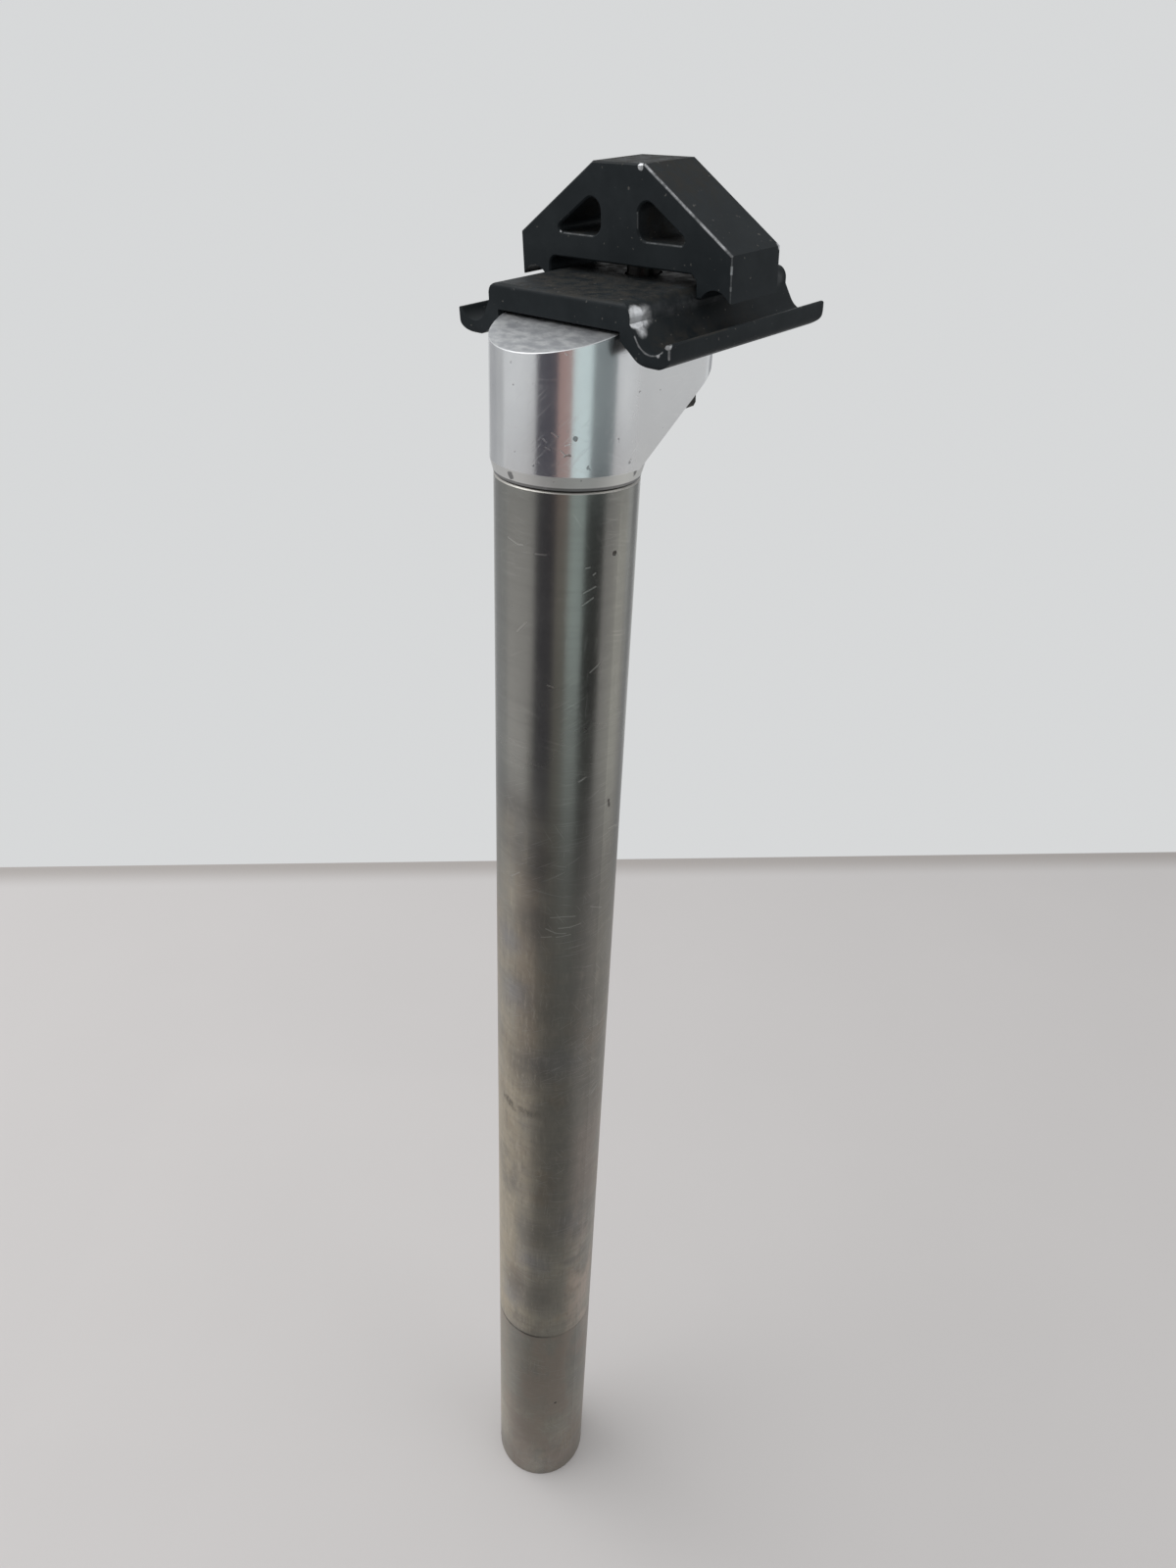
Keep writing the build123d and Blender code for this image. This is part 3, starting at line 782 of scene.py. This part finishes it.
# Upright cards round the part: from and to in degrees off the camera, heights in metres, colour
CARD_DISTANCE = 0.30
CARD_FOOT = 0.02
CARD_TOP = 0.60
CARDS = (
    ("dark_card", -43.5, -13, 0.25, CARD_TOP, (0.085, 0.082, 0.095)),
    ("low_dark_card", -46, -13, CARD_FOOT, 0.25, (0.085, 0.082, 0.095)),
    ("rose_card", -13, 7, 0.245, CARD_TOP, (0.38, 0.26, 0.24)),
    ("dull_card", -13, 7, 0.16, 0.245, (0.30, 0.285, 0.26)),
    ("low_dull_card", -13, 7, CARD_FOOT, 0.16, (0.235, 0.225, 0.205)),
    ("pale_card", 7, 34, 0.16, CARD_TOP, (0.62, 0.72, 0.72)),
    ("low_pale_card", 7, 34, CARD_FOOT, 0.16, (0.42, 0.46, 0.455)),
    ("low_left_card", -57, -46, CARD_FOOT, 0.13, (0.30, 0.29, 0.28)),
    ("grey_card", 34, 70, 0.25, CARD_TOP, (0.22, 0.25, 0.255)),
    ("low_card", 29.5, 64, CARD_FOOT, 0.25, (0.05, 0.05, 0.05)),
    ("low_right_card", 84, 116, CARD_FOOT, 0.24, (0.76, 0.745, 0.705)),
    ("left_side_card", -122, -102, CARD_FOOT, CARD_TOP, (0.48, 0.485, 0.49)),
    ("left_rear_card", -152, -122, CARD_FOOT, CARD_TOP, (0.42, 0.425, 0.435)),
    ("right_rear_card", 128, 152, CARD_FOOT, CARD_TOP, (0.36, 0.365, 0.375)),
)

# Level sheets low round the tube, in metres: near and far reach towards the camera, reach to the
# left and right at each, and colour
LOW_SHEET_HEIGHT = 0.003
LOW_SHEETS = (
    ("near_sheet", 0.02, 0.085, (0.035, 0.07), (0.06, 0.11), (0.37, 0.36, 0.345)),
    ("far_sheet", 0.085, 0.20, (0.06, 0.11), (0.135, 0.20), (0.25, 0.243, 0.23)),
    ("farther_sheet", 0.20, 0.45, (0.135, 0.20), (0.30, 0.40), (0.205, 0.20, 0.19)),
    ("left_sheet", 0.01, -0.16, (0.18, -0.017), (0.18, -0.017), (0.74, 0.71, 0.67)),
)


def glow(name, colour):
    """Plain light of one colour, for a card that only reflections see."""
    material = bpy.data.materials.new(name)
    material.use_nodes = True
    nodes = material.node_tree.nodes
    nodes.clear()
    emission = nodes.new("ShaderNodeEmission")
    emission.inputs["Color"].default_value = (*colour, 1.0)
    output = nodes.new("ShaderNodeOutputMaterial")
    material.node_tree.links.new(emission.outputs["Emission"], output.inputs["Surface"])
    return material


def make_card(name, corners, colour):
    """A glowing card that only reflections see."""
    card = sheet(name, corners, glow(name, colour))
    card.visible_camera = False
    card.visible_diffuse = False
    card.visible_shadow = False
    card.visible_transmission = False


def make_cards():
    """The upright cards round the part and the level sheets low round the tube."""
    for name, start, end, low, high, colour in CARDS:
        left, right = [
            (-view_ahead * cos(radians(angle)) + view_right * sin(radians(angle))) * CARD_DISTANCE
            for angle in (start, end)
        ]
        foot = Vector((0, 0, low))
        top = Vector((0, 0, high))
        make_card(name, [left + foot, right + foot, right + top, left + top], colour)
    for name, start, end, near_reach, far_reach, colour in LOW_SHEETS:
        near = Vector((0, 0, LOW_SHEET_HEIGHT)) - view_ahead * start
        far = Vector((0, 0, LOW_SHEET_HEIGHT)) - view_ahead * end
        corners = [
            near - view_right * near_reach[0],
            near + view_right * near_reach[1],
            far + view_right * far_reach[1],
            far - view_right * far_reach[0],
        ]
        make_card(name, corners, colour)


# Square soft lamps: place in metres, power in watts and width in metres
LAMP_AIM = Vector((0, 0, 0.2))
LAMPS = (
    ("key", (-0.50, -0.35, 0.90), 5.5, 0.9),
    ("fill", (0.75, 0.35, 0.85), 1.5, 0.8),
)


def make_lamps():
    """Lamps that look at the part's middle."""
    for name, place, power, size in LAMPS:
        data = bpy.data.lights.new(name, "AREA")
        data.energy = power
        data.size = size
        lamp = bpy.data.objects.new(name, data)
        lamp.location = place
        aim = LAMP_AIM - Vector(place)
        lamp.rotation_euler = aim.to_track_quat("-Z", "Y").to_euler()
        bpy.context.scene.collection.objects.link(lamp)


def make_world():
    """White light all round; the camera and reflections see the backdrop's colour instead."""
    world = bpy.data.worlds.new("studio")
    world.use_nodes = True
    nodes, links = world.node_tree.nodes, world.node_tree.links
    nodes.clear()
    path = nodes.new("ShaderNodeLightPath")
    seen = nodes.new("ShaderNodeMath")
    seen.operation = "MAXIMUM"
    links.new(path.outputs["Is Camera Ray"], seen.inputs[0])
    links.new(path.outputs["Is Glossy Ray"], seen.inputs[1])
    light = nodes.new("ShaderNodeBackground")
    light.inputs["Color"].default_value = (1.0, 1.0, 1.0, 1.0)
    light.inputs["Strength"].default_value = WORLD_STRENGTH
    backdrop = nodes.new("ShaderNodeBackground")
    backdrop.inputs["Color"].default_value = (*BACKDROP_COLOUR, 1.0)
    mix = nodes.new("ShaderNodeMixShader")
    links.new(seen.outputs[0], mix.inputs[0])
    links.new(light.outputs[0], mix.inputs[1])
    links.new(backdrop.outputs[0], mix.inputs[2])
    output = nodes.new("ShaderNodeOutputWorld")
    links.new(mix.outputs[0], output.inputs["Surface"])
    bpy.context.scene.world = world


def make_camera():
    """The camera of the main view."""
    data = bpy.data.cameras.new("camera")
    data.sensor_fit = "VERTICAL"
    data.sensor_height = SENSOR_HEIGHT
    data.lens = LENS
    data.clip_start = CAMERA_NEAREST
    camera = bpy.data.objects.new("camera", data)
    back = -CAMERA_AHEAD.normalized()
    right = CAMERA_RIGHT.normalized()
    up = back.cross(right)
    turn = Matrix((right, up, back)).transposed().to_4x4()
    camera.matrix_world = Matrix.Translation(CAMERA_PLACE) @ turn
    bpy.context.scene.collection.objects.link(camera)
    bpy.context.scene.camera = camera


make_floor()
make_cards()
make_lamps()
make_world()
make_camera()
bpy.context.scene.view_settings.view_transform = "Standard"
